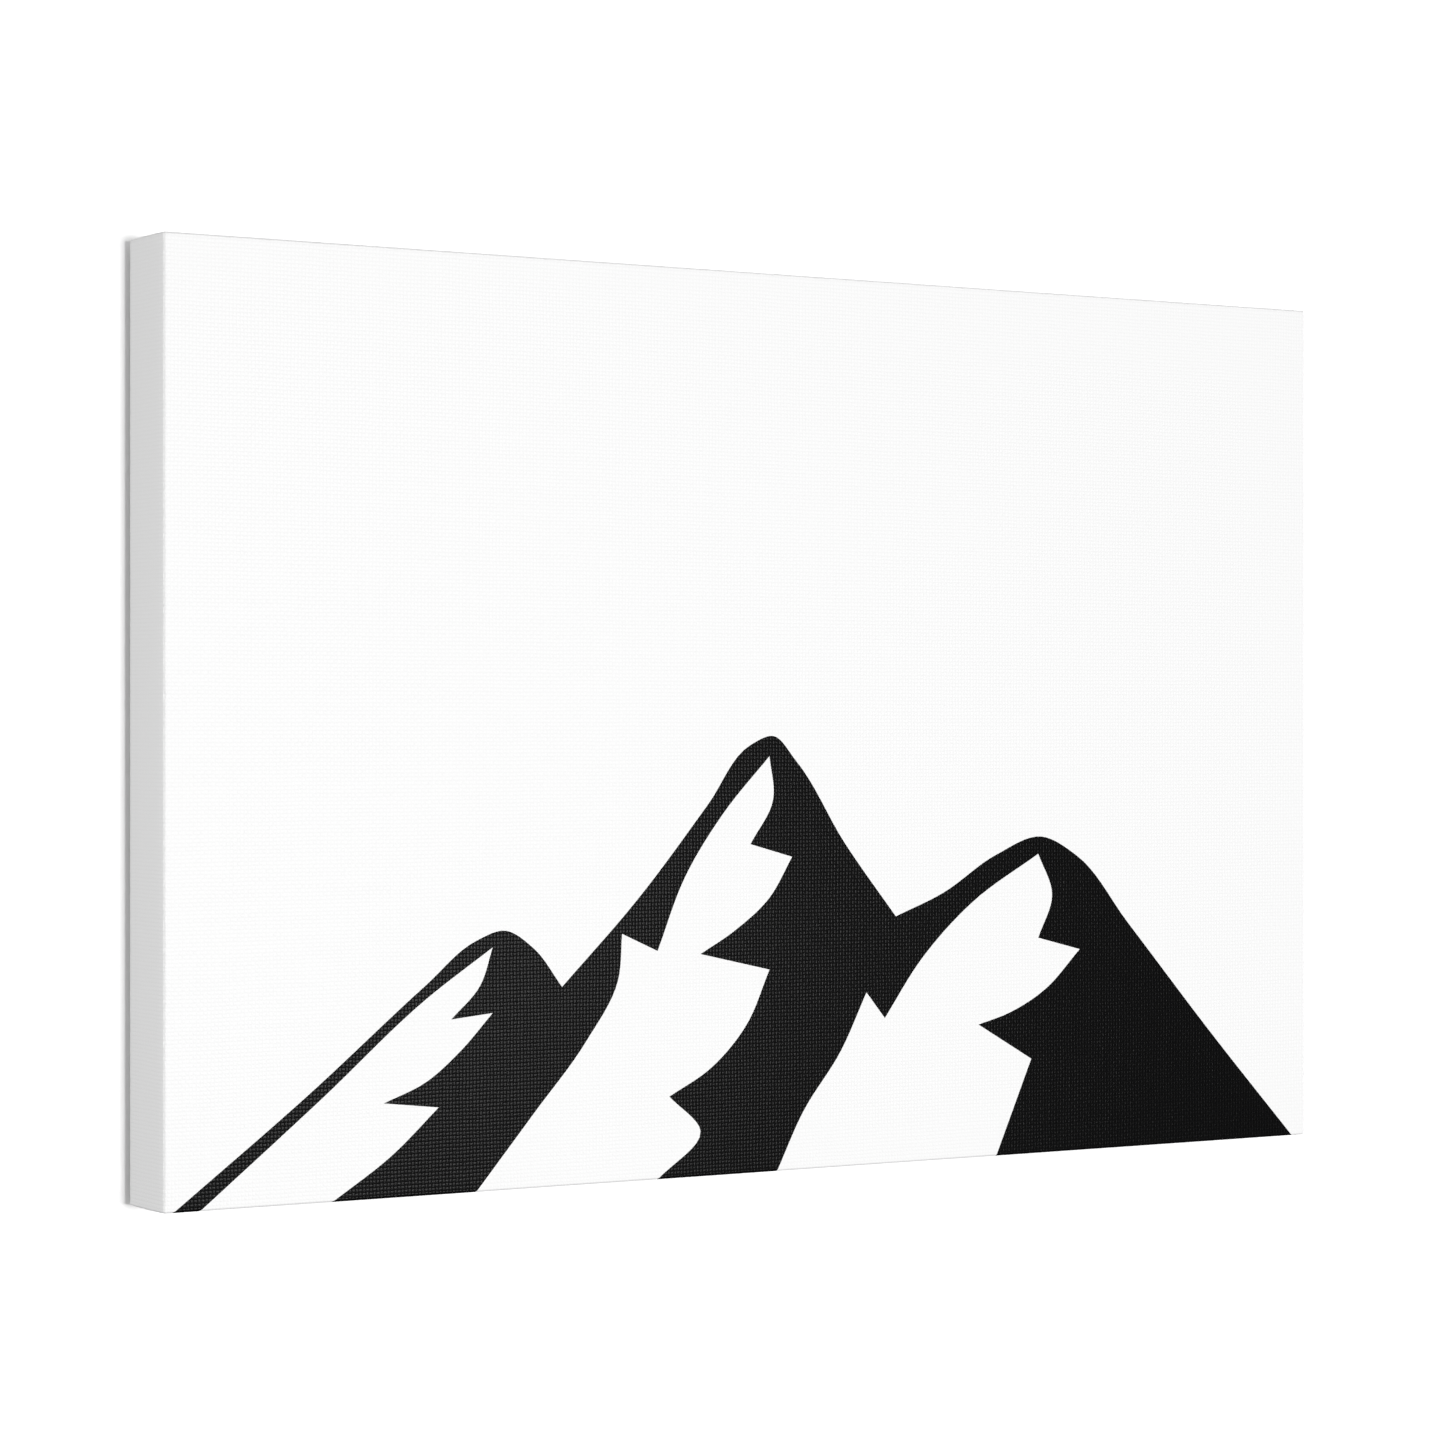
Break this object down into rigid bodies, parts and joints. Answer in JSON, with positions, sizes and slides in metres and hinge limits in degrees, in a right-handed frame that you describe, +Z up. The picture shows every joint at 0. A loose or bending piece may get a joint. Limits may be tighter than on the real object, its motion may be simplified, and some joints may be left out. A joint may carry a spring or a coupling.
{
  "type": "stretched canvas",
  "caption": "Landscape stretched canvas, printed with a black and white mountain motif, on a keyed pine stretcher frame with a wall hanger.",
  "frame": {"origin": "middle of the bottom edge, halfway through the canvas's depth", "axes": "+Z up, +X to the right along the width seen from the painted face, +Y from the face to the back"},
  "size_m": [0.3, 0.0198, 0.2],
  "materials": {
    "primed_cotton": "matt white primer with a printed motif",
    "pine": "planed, unfinished",
    "beech": "planed, unfinished",
    "staple_wire": "galvanised",
    "hanger_plate": "yellow zinc plated",
    "nail_steel": "zinc plated",
    "bumper_rubber": "matt"
  },
  "bodies": {
    "frame": {"canvas_cloth": "primed_cotton", "stretcher_bar_top": "pine", "stretcher_bar_right": "pine", "stretcher_bar_bottom": "pine", "stretcher_bar_left": "pine", "staples_top": "staple_wire", "staples_right": "staple_wire", "staples_bottom": "staple_wire", "staples_left": "staple_wire", "sawtooth_hanger": "hanger_plate", "hanger_nails": "nail_steel", "bumper_left": "bumper_rubber", "bumper_right": "bumper_rubber"},
    "key_top_left_upright": {"key_top_left_upright": "beech"},
    "key_top_right_upright": {"key_top_right_upright": "beech"},
    "key_bottom_left_upright": {"key_bottom_left_upright": "beech"},
    "key_bottom_right_upright": {"key_bottom_right_upright": "beech"},
    "key_top_left_level": {"key_top_left_level": "beech"},
    "key_bottom_left_level": {"key_bottom_left_level": "beech"},
    "key_top_right_level": {"key_top_right_level": "beech"},
    "key_bottom_right_level": {"key_bottom_right_level": "beech"}
  },
  "joints": [
    {"name": "key_top_left_upright_slide", "type": "slide", "parent": "frame", "child": "key_top_left_upright", "axis": [0, 0, -1], "range_m": [0, 0.02]},
    {"name": "key_top_right_upright_slide", "type": "slide", "parent": "frame", "child": "key_top_right_upright", "axis": [0, 0, -1], "range_m": [0, 0.02]},
    {"name": "key_bottom_left_upright_slide", "type": "slide", "parent": "frame", "child": "key_bottom_left_upright", "axis": [0, 0, 1], "range_m": [0, 0.02]},
    {"name": "key_bottom_right_upright_slide", "type": "slide", "parent": "frame", "child": "key_bottom_right_upright", "axis": [0, 0, 1], "range_m": [0, 0.02]},
    {"name": "key_top_left_level_slide", "type": "slide", "parent": "frame", "child": "key_top_left_level", "axis": [1, 0, 0], "range_m": [0, 0.02]},
    {"name": "key_bottom_left_level_slide", "type": "slide", "parent": "frame", "child": "key_bottom_left_level", "axis": [1, 0, 0], "range_m": [0, 0.02]},
    {"name": "key_top_right_level_slide", "type": "slide", "parent": "frame", "child": "key_top_right_level", "axis": [-1, 0, 0], "range_m": [0, 0.02]},
    {"name": "key_bottom_right_level_slide", "type": "slide", "parent": "frame", "child": "key_bottom_right_level", "axis": [-1, 0, 0], "range_m": [0, 0.02]}
  ]
}
